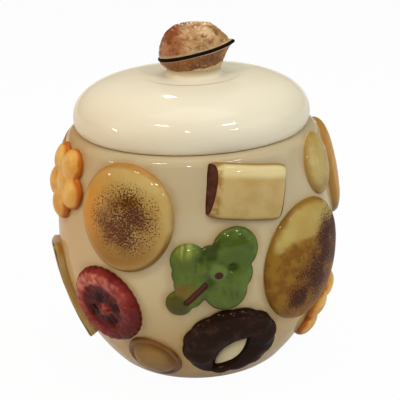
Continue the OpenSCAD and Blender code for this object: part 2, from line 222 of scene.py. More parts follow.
# %% Spin the lid
seat_gap, lid_bulge, lid_edge_h = 0.3 * MM, 2.8 * MM, 8.3 * MM
dome_h, dome_power, lid_wall = 27.7 * MM, 4.1, 6 * MM
flange_gap, flange_t, flange_h = 2 * MM, 5 * MM, 12 * MM
neck_r, neck_h, neck_flare, knob_shift = 20 * MM, 7 * MM, 3 * MM, 3 * MM
lid_z, lid_r = pot_h + seat_gap, seat_r + lid_bulge
lid_wide_z = pot_h + lid_edge_h
lid_top_z = lid_wide_z + dome_h
neck_z = lid_top_z + neck_h
flange_r = mouth_r - flange_gap
bore_r = flange_r - flange_t
under_r = lid_r - lid_wall
flare_r = neck_r + neck_flare
shift_reach = 50 * MM


def dome(radius, height, steps, start=0, stop=90):
    turns = [math.radians(start + (stop - start) * i / steps) for i in range(steps + 1)]
    power = 2 / dome_power
    return [(radius * math.cos(t) ** power, lid_wide_z + height * math.sin(t)) for t in turns]


def lid_edge(t):
    """The rounded edge of the dome, from its seat up to where it is widest."""
    return seat_r + lid_bulge * math.sin(t), lid_wide_z - (lid_wide_z - lid_z) * math.cos(t)


lid_outline = (
    dome(under_r, dome_h - lid_wall, 30)[::-1]
    + [(under_r - 2 * MM, lid_z + lid_wall), (bore_r, lid_z + lid_wall)]
    + arc((bore_r + edge_ease, pot_h - flange_h + edge_ease), edge_ease, 180, 270, 4)
    + arc((flange_r - edge_ease, pot_h - flange_h + edge_ease), edge_ease, 270, 360, 4)
    + [(flange_r, lid_z), (flange_r + 4 * MM, lid_z)]
    + [lid_edge(math.radians(10 * i)) for i in range(9)]
    + dome(lid_r, dome_h, 56, 0, 83)
    + [(flare_r + 12 * MM, lid_top_z - 0.1 * MM), (flare_r + 5 * MM, lid_top_z)]
    + arc((flare_r, lid_top_z + neck_flare), neck_flare, 270, 180, 9)
    + arc((neck_r - edge_ease, neck_z - edge_ease), edge_ease, 0, 90, 4)
    + [(10 * MM, neck_z), (0, neck_z)]
)
lid = trace("lid_glazed", lid_outline)
spin_round(lid, wheel_steps)
for point in lid.data.vertices:
    out = math.hypot(point.co.x, point.co.y)
    if point.co.z > lid_top_z - MM and out < shift_reach:
        near = min(1.0, (shift_reach - out) / (shift_reach - flare_r))
        point.co.x += knob_shift * near * near * (3 - 2 * near)
print("lid:", len(lid.data.polygons), "faces, top of the neck at", round(neck_z, 4))

# %% [markdown]
# ## Laying a biscuit on the pot
# Each biscuit is modelled flat, lying on its back at the middle of the scene,
# where symmetry and tools are easy. This step then lays it on the pot: across
# runs round the pot, up runs along its side, and height stands off it, so the
# biscuit keeps its size and bends with the belly. Before it is laid, the flat
# place of each point is kept as a UV map and its height as an attribute, and
# the painted patterns follow those.

# %% Where the biscuits lie
# Azimuth from the front in degrees, height as a share of the pot's, and turn.
places = {
    "speckled_biscuit_front": (-28.2, 0.771, 0),
    "speckled_biscuit_right": (96, 0.77, 0),
    "speckled_biscuit_back": (-153.5, 0.485, 0),
    "large_speckled_biscuit": (49, 0.522, 0),
    "fruit_roll_front": (21, 0.865, -10),
    "fruit_roll_back": (-144, 0.85, 10),
    "clover_biscuit_front": (6.6, 0.585, 0),
    "clover_biscuit_back": (175, 0.7, 20),
    "crimson_biscuit_left": (-39.4, 0.392, 0),
    "crimson_biscuit_back": (141, 0.68, 0),
    "oval_nut_low": (-22.7, 0.15, 8),
    "oval_nut_high": (64.3, 0.877, 0),
    "oval_nut_back_low": (-152, 0.14, -15),
    "oval_nut_back_high": (-106, 0.84, 10),
    "chocolate_ring_front": (13.5, 0.248, 0),
    "chocolate_ring_back": (168, 0.248, 0),
    "orange_blossom_left": (-66, 0.84, -20),
    "orange_blossom_right": (75.5, 0.215, 8),
    "orange_blossom_back": (122, 0.28, 30),
    "wafer_slab_left": (-79.5, 0.325, 12),
    "wafer_slab_back": (-119.8, 0.45, -14),
}
places["almond_front"] = places["chocolate_ring_front"]
places["almond_back"] = places["chocolate_ring_back"]
flat_unit, lift_unit = 100 * MM, 10 * MM
flat_mm = MM / flat_unit


def laid(place, point):
    azimuth, share, turn = place
    mid_z = share * pot_h
    c, s = math.cos(math.radians(turn)), math.sin(math.radians(turn))
    across, up = point.x * c - point.y * s, point.x * s + point.y * c
    along = math.asin((mid_z - belly_z) / side_arc(mid_z)) * side_arc(mid_z) + up
    curve = low_arc if along < 0 else high_arc
    tilt = along / curve
    ground_r = belly_r - curve + curve * math.cos(tilt)
    ground_z = belly_z + curve * math.sin(tilt)
    around = math.radians(azimuth) + across / ground_r
    r, z = ground_r + point.z * math.cos(tilt), ground_z + point.z * math.sin(tilt)
    return Vector((r * math.sin(around), -r * math.cos(around), z))


def keep_flat_map(piece):
    mesh = piece.data
    layer = mesh.uv_layers.new(name="flat")
    for loop in mesh.loops:
        co = mesh.vertices[loop.vertex_index].co
        layer.data[loop.index].uv = (0.5 + co.x / flat_unit, 0.5 + co.y / flat_unit)
    lift = mesh.attributes.new("lift", "FLOAT", "POINT")
    for point in mesh.vertices:
        lift.data[point.index].value = point.co.z / lift_unit


def lay_on_pot(piece, node):
    for point in piece.data.vertices:
        point.co = laid(places[node], point.co)
    piece.data.update()


# %% [markdown]
# ## The speckled biscuits
# Plain round biscuits, full in the middle, with a soft wall at the edge. Half
# of such a biscuit's outline is drawn from the middle out and spun, like the
# pot, and the round is then drawn out to the biscuit's width and height. The
# corners of the drawn outline are cut off twice, which makes it flow.

# %% Turn a disc and make it oval
root_z, bed_z = -0.6 * MM, 0.5 * MM


def softened(corners, passes=2):
    """Cut the corners of an outline, and keep its two ends."""
    for _ in range(passes):
        cut = [corners[0]]
        for (x0, z0), (x1, z1) in zip(corners, corners[1:]):
            cut += [(x0 + (x1 - x0) * share, z0 + (z1 - z0) * share) for share in (0.25, 0.75)]
        corners = cut + [corners[-1]]
    return corners


def turned_disc(name, width, height, profile, steps=96):
    """profile: share of the radius and height in millimetres, from the middle out."""
    outline = [(share / 2, lift * MM) for share, lift in softened(profile)]
    outline += [(share / 2, root_z) for share in (1, 0.75, 0.5, 0.25, 0)]
    piece = trace(name, outline)
    spin_round(piece, steps)
    bpy.ops.transform.resize(value=(width * MM, height * MM, 1))
    apply_place(piece)
    return piece


def roughen(piece, size, depth, seed):
    """Uneven surface, in millimetres, as hand-pressed clay has."""
    for point in piece.data.vertices:
        if point.co.z > bed_z:
            where = point.co / (size * MM) + Vector((seed * 7.3, seed * 3.1, seed))
            point.co.z += depth * MM * noise.noise(where)


# %% Speckled biscuits, slightly narrower at the bottom
egg_pinch = 0.035


def egg(piece, width, height):
    for point in piece.data.vertices:
        turn = math.atan2(point.co.y / height, point.co.x / width)
        share = 1 - egg_pinch * max(0.0, -math.sin(turn)) * abs(math.cos(turn))
        point.co.x *= share
        point.co.y *= share


biscuit_profile = [(0, 7.8), (0.3, 7.7), (0.55, 7.35), (0.74, 6.8), (0.86, 6.0), (0.93, 4.9),
                   (0.965, 3.6), (0.99, 2.2), (1, 0.9)]
pieces = {}
for node, width, height, seed in [
    ("speckled_biscuit_front", 72, 76, 1), ("speckled_biscuit_right", 72, 76, 2),
    ("speckled_biscuit_back", 72, 76, 3), ("large_speckled_biscuit", 85, 92, 4),
]:
    pieces[node] = turned_disc(node + "_glazed", width, height, biscuit_profile)
    egg(pieces[node], width, height)
    roughen(pieces[node], 16, 0.45, seed)
    print(node, len(pieces[node].data.polygons), "faces")

# %% [markdown]
# ## The oval nuts
# The low ones have a flat margin and a raised kernel with a groove round it.
# The high ones are a plain soft pillow. Only the drawn outline differs.

# %% Oval nuts
nut_across, nut_long = 40, 45
kernel_profile = [(0, 6.2), (0.25, 6.1), (0.45, 5.7), (0.6, 4.9), (0.7, 3.8), (0.76, 2.4),
                  (0.8, 2.0), (0.86, 2.7), (0.93, 2.8), (0.98, 2.0), (1, 0.8)]
pillow_profile = [(0, 6.2), (0.3, 6.0), (0.55, 5.5), (0.74, 4.5), (0.88, 3.2), (0.96, 2.0),
                  (1, 0.8)]
for node, profile, seed in [
    ("oval_nut_low", kernel_profile, 5), ("oval_nut_back_low", kernel_profile, 7),
    ("oval_nut_high", pillow_profile, 6), ("oval_nut_back_high", pillow_profile, 8),
]:
    pieces[node] = turned_disc(node + "_glazed", nut_across, nut_long, profile)
    roughen(pieces[node], 9, 0.5, seed)

# %% [markdown]
# ## The crimson biscuits
# The outer slope is fluted like a pastry case. Then comes a wide plain ring,
# and the middle is dished with three hollows and a small raised heart. The
# flutes are waves on the outer slope. The hollows and ridges are pressed and
# drawn with a soft brush, as in sculpting.

# %% Press, draw a line, flute
def press(piece, spots):
    """spots: x, y, radius and depth in millimetres; a negative depth raises."""
    for point in piece.data.vertices:
        if point.co.z < bed_z:
            continue
        for x, y, radius, depth in spots:
            d = math.hypot(point.co.x - x * MM, point.co.y - y * MM) / (radius * MM)
            if d < 1:
                point.co.z -= depth * MM * (1 - d * d) ** 2


def score(piece, start, end, width, depth, soft=1.2):
    """A groove from start to end, or a ridge where the depth is negative."""
    a, b = Vector(start) * MM, Vector(end) * MM
    along = b - a
    for point in piece.data.vertices:
        if point.co.z > bed_z:
            flat = point.co.xy
            share = max(0.0, min(1.0, (flat - a).dot(along) / along.length_squared))
            d = (flat - a - along * share).length / MM
            point.co.z -= depth * MM * max(0.0, min(1.0, (width / 2 - d) / soft + 0.5))


def flute(piece, count, width, height, inner, depth, full=0.92):
    """Waves on the slope, from the share inner on and full-grown at full."""
    for point in piece.data.vertices:
        u, v = point.co.x / (width * MM / 2), point.co.y / (height * MM / 2)
        out = math.hypot(u, v)
        if out > inner and point.co.z > 0:
            wave = 0.5 - 0.5 * math.cos(count * math.atan2(v, u))
            amount = depth * MM * wave * min(1.0, (out - inner) / (full - inner))
            point.co.z -= amount
            shrink = 1 - 0.8 * amount / (width * MM / 2)
            point.co.x *= shrink
            point.co.y *= shrink


# %% Crimson biscuits
crimson_w, crimson_h, flutes = 59, 60, 32
crimson_profile = [(0, 4.9), (0.2, 4.7), (0.36, 4.4), (0.46, 4.6), (0.53, 5.4), (0.6, 6.6),
                   (0.67, 7.2), (0.76, 7.6), (0.83, 7.5), (0.89, 6.6), (0.94, 5.3), (0.98, 3.6),
                   (1, 1.4)]
crimson_spots = [(-1, 6, 7, 1.4), (-10.5, -5, 6.5, 1.6), (5, -11, 6, 1.5), (11, 2, 5, 1),
                 (2, -2, 5, -1.6)]
crimson_lines = [((1, -2), (-8, 1)), ((0, -4), (-6, -12)), ((3, -4), (11, -9)), ((4, 0), (8, 8))]
for node, seed in [("crimson_biscuit_left", 9), ("crimson_biscuit_back", 10)]:
    piece = turned_disc(node + "_glazed", crimson_w, crimson_h, crimson_profile, wheel_steps)
    flute(piece, flutes, crimson_w, crimson_h, 0.8, 0.6)
    press(piece, crimson_spots)
    for start, end in crimson_lines:
        score(piece, start, end, 0.6, -0.9)
    roughen(piece, 4, 0.7, seed)
    pieces[node] = piece
    print(node, len(piece.data.polygons), "faces")

# %% [markdown]
# ## The clover biscuits
# Three fat leaves and a stem with a slit. Leaves, fillings and stem are
# flattened spheres. A voxel remesh melts them into one lump, and smoothing
# softens the creases between them, as glaze does. Everything below the pot's
# surface is pushed flat, so the lump has a closed, even bed.

# %% Melt domes into one lump
def melted_domes(name, domes, voxel, smooth):
    """domes: x, y, radius and height in millimetres."""
    parts = []
    for x, y, radius, height in domes:
        choose()
        bpy.ops.mesh.primitive_uv_sphere_add(segments=48, ring_count=24, radius=1,
                                             location=(x * MM, y * MM, MM))
        part = named(name)
        bpy.ops.transform.resize(value=(radius * MM, radius * MM, (height - 1) * MM))
        apply_place(part)
        parts.append(part)
    choose(*parts)
    bpy.ops.object.join()
    piece = named(name)
    apply_modifier(piece, "REMESH", mode="VOXEL", voxel_size=voxel * MM)
    apply_modifier(piece, "SMOOTH", factor=0.5, iterations=smooth)
    for point in piece.data.vertices:
        point.co.z = max(point.co.z, root_z)
    return piece


# %% Clover biscuits
clover_domes = [
    (14.3, 13, 16.1, 7.6), (-17.4, 6.8, 12.9, 7.5), (6.8, -15.8, 15.2, 7.5),
    (-18.6, -2.5, 11, 7.0), (13, -4.3, 13.3, 6.7), (-2.5, 7.4, 10.5, 5.6), (0, 0, 15.5, 5.2),
    (-11, 0, 10.5, 6.6), (-20, -10, 8.5, 5.8),
    (-24.8, -24.2, 9.6, 6.2), (-18, -17.7, 10.4, 6.4), (-11.8, -11.8, 10.8, 6.2),
]
clover_spots = [
    (11.5, 1.5, 6, 2.2), (-2.5, 10.5, 5, 1.6), (-11, 9, 4.5, 1.8), (-15.5, -3.5, 3.5, 1.2),
    (13, 8, 8, 0.9), (2, -1, 7.5, -2.4), (-9, 2, 4, -0.9), (1.8, -2, 3.2, 1.3),
]
slit_start, slit_end = (-7.5, -9.5), (-19.5, -21.5)
for node in ["clover_biscuit_front", "clover_biscuit_back"]:
    piece = melted_domes(node + "_glazed", clover_domes, 0.6, 6)
    press(piece, clover_spots)
    score(piece, (3, 17.5), (9, 18.5), 1, 0.7, 3)
    score(piece, slit_start, slit_end, 3.4, 1.7)
    pieces[node] = piece
    print(node, len(piece.data.polygons), "faces")

# %% [markdown]
# ## The orange blossoms
# Five round petals and a heart, melted together in the same way.

# %% Orange blossoms
petals, petal_off, petal_r, petal_top = 5, 0.56, 0.44, 8.8
blossom_w, blossom_h = 55, 58
blossom_domes = [(0, 0, 11.5, 7.6)]
for i in range(petals):
    turn = math.radians(360 * i / petals)
    x, y = petal_off * blossom_w / 2 * math.cos(turn), petal_off * blossom_h / 2 * math.sin(turn)
    blossom_domes.append((x, y, petal_r * (blossom_w + blossom_h) / 4, petal_top))
for node in ["orange_blossom_left", "orange_blossom_right", "orange_blossom_back"]:
    pieces[node] = melted_domes(node + "_glazed", blossom_domes, 0.7, 3)
    print(node, len(pieces[node].data.polygons), "faces")

# %% [markdown]
# ## The chocolate rings and their almonds
# A torus gives the hoop. Its hole is a lens, pointed at both ends, that leans
# with the almond, and its outer edge is scalloped, so each point of the torus
# is moved between the two outlines. The almond is a turned disc, drawn out to
# the same lens.

# %% Chocolate rings
choc_w, choc_h, choc_t = 70, 61, 9
almond_w, almond_h, almond_gap = 14, 33, 0.9
almond_off, almond_lean = (0.1, -7.9), -39
tube_r, scallops, scallop_share, knead_size = 0.4, 6, 0.035, 7
hole_w, hole_h = almond_w + 2 * almond_gap - 1.2, almond_h + 2 * almond_gap - 1.2


def lens_reach(x, y):
    """How far a lens reaches in a direction: |x| = 1 - y * y."""
    return 2 / (abs(x) + math.sqrt(x * x + 4 * y * y))


def chocolate_ring(name, hand, seed):
    """hand: 1 as in front, -1 for its mirror image."""
    choose()
    bpy.ops.mesh.primitive_torus_add(major_segments=168, minor_segments=40, major_radius=1,
                                     minor_radius=tube_r)
    piece = named(name)
    lean = math.radians(hand * almond_lean)
    middle = Vector((hand * almond_off[0], almond_off[1]))
    for point in piece.data.vertices:
        turn = math.atan2(point.co.y, point.co.x)
        out = (math.hypot(point.co.x, point.co.y) - (1 - tube_r)) / (2 * tube_r)
        up = point.co.z / tube_r
        reach = lens_reach(2 * math.cos(turn - lean) / hole_w, 2 * math.sin(turn - lean) / hole_h)
        inner = middle + Vector((math.cos(turn), math.sin(turn))) * reach
        scallop = abs(math.sin(scallops * turn))
        outer = Vector((math.cos(turn) * choc_w, math.sin(turn) * choc_h)) / 2
        flat = inner.lerp(outer * (1 - scallop_share * (1 - scallop)), out)
        knead = noise.noise(Vector((flat.x / knead_size, flat.y / knead_size, seed))) * 1.1
        rise, swell = max(0.0, up), knead + 0.5 * scallop * out
        height = 1.06 * choc_t * rise**0.75 * (1 - 0.2 * out) + swell * rise
        z = height * MM if up > 0 else root_z * min(1.0, -4 * up)
        point.co = Vector((flat.x * MM, flat.y * MM, z))
    return piece


pieces["chocolate_ring_front"] = chocolate_ring("chocolate_ring_front_glazed", 1, 1.5)
pieces["chocolate_ring_back"] = chocolate_ring("chocolate_ring_back_glazed", -1, 4.5)

# %% Almonds
almond_profile = [(0, 7.3), (0.3, 7.1), (0.55, 6.5), (0.75, 5.5), (0.9, 4.3), (1, 3.2)]


def almond(name, hand):
    piece = turned_disc(name, almond_w, almond_h, almond_profile)
    lean = Matrix.Rotation(math.radians(hand * almond_lean), 4, "Z")
    for point in piece.data.vertices:
        turn = math.atan2(point.co.y / almond_h, point.co.x / almond_w)
        reach = lens_reach(math.cos(turn), math.sin(turn))
        flat = Vector((point.co.x * reach, point.co.y * reach, point.co.z))
        point.co = lean @ flat + Vector((hand * almond_off[0] * MM, almond_off[1] * MM, 0))
    return piece


pieces["almond_front"] = almond("almond_front_glazed", 1)
pieces["almond_back"] = almond("almond_back_glazed", -1)
for node in ["chocolate_ring_front", "almond_front"]:
    print(node, len(pieces[node].data.polygons), "faces")

# %% [markdown]
# ## The fruit rolls
# A sheet of dough rolled round a dark filling, which shows in both ends. The
# arched end is full above and low below. It is drawn as an outline, filled and
# extruded along the roll. Each end is then inset and pushed in for the
# filling, and both ends lean inwards, so that the filling shows from in front.

# %% Fruit rolls
roll_l, roll_w, roll_t = 56, 38, 9
roll_lean, roll_low, arch_steps, roll_steps = (8, 3), 0.45, 26, 24
fillings = {}


def arch_point(i):
    """A point of the arch: full on its upper side, low on its lower side."""
    turn = math.pi * i / arch_steps
    full = (1 + roll_low + (1 - roll_low) * math.cos(turn)) / 2
    height = 1.6 + (roll_t - 1.2) * max(0.0, math.sin(turn)) ** 0.62 * full
    return roll_w / 2 * math.cos(turn) * MM, height * MM


def fruit_roll(name, seed):
    arch = [arch_point(i) for i in range(arch_steps + 1)]
    arch += [(-roll_w / 2 * MM, root_z), (roll_w / 2 * MM, root_z)]
    piece = trace(name, arch)
    edit(piece)
    bpy.ops.mesh.edge_face_add()
    bpy.ops.transform.translate(value=(0, -roll_l / 2 * MM, 0))
    step = (0, roll_l / roll_steps * MM, 0)
    for _ in range(roll_steps):
        bpy.ops.mesh.extrude_region_move(TRANSFORM_OT_translate={"value": step})
    mode("OBJECT")
    point_outwards(piece)
    edit_only(piece, "FACE", lambda face: abs(face.normal.y) > 0.9)
    for depth in (0, 0, -0.8 * MM):
        bpy.ops.mesh.inset(thickness=0.3 * MM, depth=depth, use_individual=True)
    mode("OBJECT")
    apply_modifier(piece, "SUBSURF", levels=1, render_levels=1)
    sunk_y = (roll_l / 2 - 0.05) * MM
    fillings[name] = {face.index for face in piece.data.polygons
                      if abs(face.normal.y) > 0.6 and abs(face.center.y) <= sunk_y}
    for point in piece.data.vertices:
        along, side = point.co.y / (roll_l / 2 * MM), point.co.x / (roll_w / 2 * MM)
        lean = roll_lean[0] if along < 0 else roll_lean[1]
        full = 1 - 0.07 * abs(along) ** 8
        x = along * (roll_l / 2 - lean * max(0.0, point.co.z / MM) / roll_t)
        y = side * full * roll_w / 2 + (3 * max(0.0, along) ** 30 if side < 0 else 0)
        point.co = Vector((x * MM, y * MM, point.co.z * (full if point.co.z > 0 else 1)))
    roughen(piece, 14, 0.4, seed)
    point_outwards(piece)
    return piece


for node, seed in [("fruit_roll_front", 11), ("fruit_roll_back", 12)]:
    pieces[node] = fruit_roll(node + "_glazed", seed)
    print(node, len(pieces[node].data.polygons), "faces,",
          len(fillings[node + "_glazed"]), "of filling")

# %% [markdown]
# ## The wafer slabs
# A thin rectangular wafer with crisp, slightly rounded edges. It starts as a
# cube. Its upright edges get a wide bevel and the others a narrow one, and it
# is cut into small faces so that it can bend. On the round belly a real wafer
# stays flatter than the pot, so its top is lifted towards its ends.

# %% Wafer slabs
slab_w, slab_h, slab_t, slab_flat = 48, 74, 4.5, 0.18
slab_proud, slab_corner, slab_edge = 0.2, 7, 1.2


def wafer_slab(name, seed):
    choose()
    top = (slab_t + slab_proud) * MM
    bpy.ops.mesh.primitive_cube_add(size=1, location=(0, 0, (root_z + top) / 2))
    piece = named(name)
    bpy.ops.transform.resize(value=(slab_w * MM, slab_h * MM, top - root_z))
    apply_place(piece)
    levels = [point.co.z for point in piece.data.vertices]
    edit_only(piece, "EDGE", lambda edge: levels[edge.vertices[0]] != levels[edge.vertices[1]])
    bpy.ops.mesh.bevel(offset=slab_corner * MM, segments=6)
    mode("OBJECT")
    apply_modifier(piece, "BEVEL", width=slab_edge * MM, segments=3, limit_method="ANGLE")
    mode("EDIT")
    for normal, size, cuts in [((0, 1, 0), slab_h, 24), ((1, 0, 0), slab_w, 16)]:
        for i in range(1, cuts):
            bpy.ops.mesh.select_all(action="SELECT")
            place = Vector(normal) * (i / cuts - 0.5) * size * MM
            bpy.ops.mesh.bisect(plane_co=place, plane_no=normal)
    mode("OBJECT")
    for point in piece.data.vertices:
        if point.co.z > 2 * MM:
            sag = point.co.x**2 / belly_r + point.co.y**2 / low_arc
            point.co.z += slab_flat * sag
    roughen(piece, 12, 0.3, seed)
    return piece


for node, seed in [("wafer_slab_left", 13), ("wafer_slab_back", 14)]:
    pieces[node] = wafer_slab(node + "_glazed", seed)
    print(node, len(pieces[node].data.polygons), "faces")

# %% [markdown]
# ## Keep the flat maps and lay every biscuit
# The map is taken while a biscuit is still flat, and only then is it laid.

# %% Lay the biscuits on the pot
for node, piece in pieces.items():
    keep_flat_map(piece)
    lay_on_pot(piece, node)
    choose(piece)
    bpy.ops.object.shade_smooth_by_angle(angle=math.radians(55))
print(len(pieces), "biscuits laid")

# %% [markdown]
# ## The walnut
# The knob is a walnut lying on its side: a lower shell that grows out of the
# neck and is hollow under its beak, a proud black seam, and a wrinkled crown
# that runs out to the beak on the right. A sphere has the rings and spokes
# that are needed. Each of its points is moved by how high it lies on the
# sphere: the lowest ones into the neck, then the shell, the seam and the crown.

# %% Shape the walnut
nut_blunt, nut_tip, nut_w = 25, 29.5, 39
seam_h, crown_h, nut_tilt, seam_bow = 10.3, 20.6, 12, 0.4
seam_w, seam_proud = 2.4, 0.9
hollow, beak_top, beak_slope = 0.58, 0.92, 0.48
seam_z = neck_z / MM + seam_h
foot_share, band = -0.82, 0.055


def nut_edge(turn):
    c, s = math.cos(turn), math.sin(turn)
    pointed = abs(s) ** (0.55 * max(0.0, c))
    return Vector((nut_blunt * c if c < 0 else nut_tip * c, nut_w / 2 * s * pointed, 0))


def seam_level(x):
    half = (nut_blunt + nut_tip) / 2
    return seam_z + x * math.tan(math.radians(nut_tilt)) - seam_bow * (x / half) ** 2


def nut_point(turn, height):
    """height runs from -1 at the neck, over 0 at the seam, to 1 at the top."""
    edge = nut_edge(turn)
    level = seam_level(edge.x)
    beak = max(0.0, math.cos(turn)) ** 4
    foot = Vector((math.cos(turn), math.sin(turn), 0)) * (neck_r / MM + 0.4)
    sunk_z = neck_z / MM - 1.0
    foot_z = sunk_z + 0.5 * math.sin(3 * turn) + 0.3 * math.sin(7 * turn + 1)
    if height < foot_share:
        middle = Vector((0, 0, sunk_z))
        return middle.lerp(foot + Vector((0, 0, foot_z)), (1 + height) / (1 + foot_share))
    if height < -band:
        w = (height - foot_share) / (-band - foot_share)
        grown = (1 - hollow * beak) * math.sin(math.pi / 2 * w) + hollow * beak * w**5
        flat = foot.lerp(edge, grown)
        return Vector((flat.x, flat.y, foot_z + (level - seam_w / 2 - foot_z) * w))
    if height < band:
        swell = 1 + seam_proud * (1 - (height / band) ** 4) / edge.length
        return Vector((edge.x * swell, edge.y * swell, level + seam_w / 2 * height / band))
    t = math.pi / 2 * (height - band) / (1 - band)
    full = max(0.0, math.cos(t)) ** 0.65
    pull = full - max(0.0, full - beak_top + beak_slope * math.sin(t)) * beak
    low, top = level + seam_w / 2, seam_z + crown_h - 0.9
    return Vector((edge.x * pull, edge.y * pull, low + (top - low) * math.sin(t)))


choose()
bpy.ops.mesh.primitive_uv_sphere_add(segments=144, ring_count=112, radius=1)
walnut = named("walnut_glazed")
up_share = walnut.data.attributes.new("up_share", "FLOAT", "POINT")
for point in walnut.data.vertices:
    turn = math.atan2(point.co.y, point.co.x)
    height = math.asin(max(-1.0, min(1.0, point.co.z))) / (math.pi / 2)
    up_share.data[point.index].value = height
    point.co = (nut_point(turn, height) + Vector((knob_shift / MM, 0, 0))) * MM
walnut.data.update()
print("walnut:", len(walnut.data.polygons), "faces")

# %% Wrinkle the walnut
def wrinkles(where, grain):
    """Ridges where two cells of a pattern meet, and soft dents between them."""
    near = noise.voronoi(where * grain)[0]
    return min(1.0, (near[1] - near[0]) * 2.2)


moves = []
for point in walnut.data.vertices:
    where = point.co / MM
    height = up_share.data[point.index].value
    high = where.z - seam_level(where.x - knob_shift / MM)
    fade = min(1.0, max(0.0, abs(high) - 1.7) / 1.6)
    fade *= min(1.0, max(0.0, where.z - neck_z / MM) / 3.0)
    stretch = Vector((where.x * 0.75, where.y, where.z))
    warp = noise.noise_vector(stretch / 8) * 4
    netted = 0.45 + 0.55 * math.exp(-((where.x - 4) / 13) ** 2)
    depth = (0.5 - wrinkles(stretch + warp, 0.16)) * 0.95 + noise.noise(stretch / 4) * 0.4
    depth += (0.5 - wrinkles(stretch + warp, 0.34)) * 0.6 * netted
    moves.append(point.normal * depth * fade * (1.0 if height > 0 else 0.45) * MM)
for point, move in zip(walnut.data.vertices, moves):
    point.co += move
choose(walnut)
bpy.ops.object.shade_smooth()

# %% [markdown]
# ## Stains in the cream glaze
# Round each biscuit the cream glaze is stained a little by its colours. For
# that, each point of the pot keeps how near it lies to a biscuit.

# %% Measure how near each point of the pot lies to a biscuit
stain_reach, ground_low, ground_high = 9 * MM, -0.02, 0.14
ground_points = []
for node, piece in pieces.items():
    if not node.startswith("almond"):
        heights = piece.data.attributes["lift"].data
        ground_points += [p.co.copy() for p in piece.data.vertices
                          if ground_low < heights[p.index].value < ground_high]
tree = kdtree.KDTree(len(ground_points))
for index, place in enumerate(ground_points):
    tree.insert(place, index)
tree.balance()
near_biscuit = pot.data.attributes.new("near_biscuit", "FLOAT", "POINT")
for point in pot.data.vertices:
    distance = tree.find(point.co)[2]
    near_biscuit.data[point.index].value = max(0.0, 1 - distance / stain_reach)
print("points round the biscuits:", len(ground_points))
for piece in (pot, lid):
    choose(piece)
    bpy.ops.object.shade_smooth_by_angle(angle=math.radians(50))

# %% [markdown]
# ## Glazes
# Painted colour lies under one clear, glossy coat. So every glaze is a matt
# Principled base with a Coat layer over it, and the colour comes from noise
# patterns, from the flat map and from the height of each point. A glaze is
# made as a painter works: a ground, and then one colour over another, each
# through masks that run from 0 to 1.

# %% A material and its nodes
def screen_colour(red, green, blue):
    """A colour as seen on the screen, 0 to 255, made linear."""
    def linear(c):
        c /= 255
        return c / 12.92 if c <= 0.04045 else ((c + 0.055) / 1.055) ** 2.4
    return (linear(red), linear(green), linear(blue), 1)


class Nodes:
    """Nodes of a material or a world. Each value is a socket or a number."""

    def __init__(self, block):
        block.use_nodes = True
        self.block, self.tree = block, block.node_tree

    def plug(self, value, socket):
        if isinstance(value, bpy.types.NodeSocket):
            self.tree.links.new(value, socket)
        else:
            socket.default_value = value

    def add(self, kind, settings=None, **inputs):
        node = self.tree.nodes.new("ShaderNode" + kind)
        for name, value in (settings or {}).items():
            setattr(node, name, value)
        for name, value in inputs.items():
            self.plug(value, node.inputs[name.replace("_", " ")])
        return node

    def ramp(self, value, low, high, start=0.0, stop=1.0):
        """Run softly from start, at the value low, to stop, at the value high."""
        return self.add("MapRange", {"interpolation_type": "SMOOTHSTEP"}, Value=value, From_Min=low,
                        From_Max=high, To_Min=start, To_Max=stop).outputs["Result"]

    def calc(self, operation, result, *others):
        for other in others:
            node = self.add("Math", {"operation": operation})
            self.plug(result, node.inputs[0])
            self.plug(other, node.inputs[1])
            result = node.outputs[0]
        return result


# %% A glaze: a matt base under a clear coat
class Glaze(Nodes):
    """Its patterns follow the object's own axes, or a biscuit's flat map."""

    def __init__(self, name, flat=False, roughness=0.5, coat=0.4, coat_roughness=0.05):
        super().__init__(bpy.data.materials.new(name))
        self.shader = self.tree.nodes["Principled BSDF"].inputs
        self.shader["Roughness"].default_value = roughness
        self.shader["Specular IOR Level"].default_value = 0.0
        self.shader["Coat Weight"].default_value = coat
        self.shader["Coat Roughness"].default_value = coat_roughness
        if flat:
            self.map = self.add("UVMap", {"uv_map": "flat"}).outputs["UV"]
            self.lift = self.attribute("lift")
        else:
            self.map = self.add("TexCoord").outputs["Object"]

    def attribute(self, name):
        return self.add("Attribute", {"attribute_name": name}).outputs["Fac"]

    def cloud(self, scale, detail=3.0, roughness=0.5, vector=None):
        return self.add("TexNoise", Vector=vector or self.map, Scale=scale, Detail=detail,
                        Roughness=roughness).outputs["Fac"]

    def mottle(self, scale, low, high, start=0.0, stop=1.0, **cloud):
        return self.ramp(self.cloud(scale, **cloud), low, high, start, stop)

    def blend(self, factor, a, b):
        """Colour a where the factor is 0, colour b where it is 1."""
        node = self.add("Mix", {"data_type": "RGBA"})
        for index, value in ((0, factor), (6, a), (7, b)):
            value = screen_colour(*value) if isinstance(value, tuple) else value
            self.plug(value, node.inputs[index])
        return node.outputs[2]

    def over(self, paint, *masks):
        """Lay a colour over the base where every mask is 1."""
        self.base = self.blend(self.calc("MULTIPLY", *masks), self.base, paint)

    def finish(self, *bumps):
        """bumps: height, strength and distance in metres, one bump on another."""
        self.plug(self.base, self.shader["Base Color"])
        below = {}
        for height, strength, distance in bumps:
            bump = self.add("Bump", Height=height, Strength=strength, Distance=distance, **below)
            below = {"Normal": bump.outputs["Normal"]}
        self.plug(below["Normal"], self.shader["Normal"])
        self.plug(below["Normal"], self.shader["Coat Normal"])


# %% [markdown]
# ### Cream glaze
# Pale cream on the lid, with a painted shade on its neck under the walnut. On the
# pot it is warmer and honey-coloured on the belly. Just under the lid and towards
# the foot it is darker, which is painted shade, and on the left it is warmer, which
# is painted warm light. Soft clouds lie over it, and it is stained round the
# biscuits.

# %% Cream glaze
cream_pale, cream_warm, painted_neck_shade = (232, 225, 203), (223, 210, 178), (170, 144, 100)
under_lid_shade_and_cloud, pot_mid, painted_foot_shade = (191, 175, 140), (206, 190, 149), (186, 151, 82)
stain_tan, painted_warm_light_left = (176, 132, 72), (200, 156, 92)


